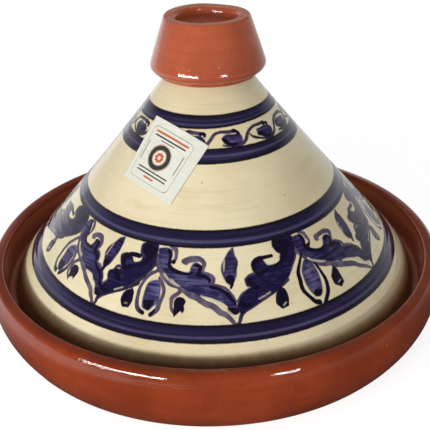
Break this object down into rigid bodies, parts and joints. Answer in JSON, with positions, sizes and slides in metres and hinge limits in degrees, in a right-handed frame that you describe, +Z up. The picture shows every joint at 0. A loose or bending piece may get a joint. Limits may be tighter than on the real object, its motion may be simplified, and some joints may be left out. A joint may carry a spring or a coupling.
{
  "type": "tagine pot",
  "caption": "Tagine: shallow terracotta dish with a sloping rim and inner ledge, cream-glazed cone lid with hand-painted blue bands and leaves, cup-shaped knob and a paper label.",
  "frame": {"origin": "centre of the dish's flat foot, on the surface it stands on", "axes": "+Z up along the pot's turning axis; the front, with the paper label to its left, looks along -Y"},
  "size_m": [0.3018, 0.3018, 0.1951],
  "materials": {
    "terracotta_glazed": "red-brown terracotta under a clear glaze, glossy, bare clay under the foot",
    "cream_glaze_painted": "glossy cream glaze with brush-painted cobalt blue bands, leaves and berries",
    "knob_terracotta": "red terracotta under a clear glaze, glossy",
    "label_paper": "coated white label paper with a thin printed frame and a plain star, semi-matt"
  },
  "bodies": {
    "dish": {"dish": "terracotta_glazed"},
    "lid": {"lid_cone": "cream_glaze_painted", "lid_knob": "knob_terracotta", "paper_label": "label_paper"}
  },
  "joints": [
    {"name": "lid_lift", "type": "slide", "parent": "dish", "child": "lid", "axis": [0, 0, 1], "range_m": [0, 0.15]}
  ]
}
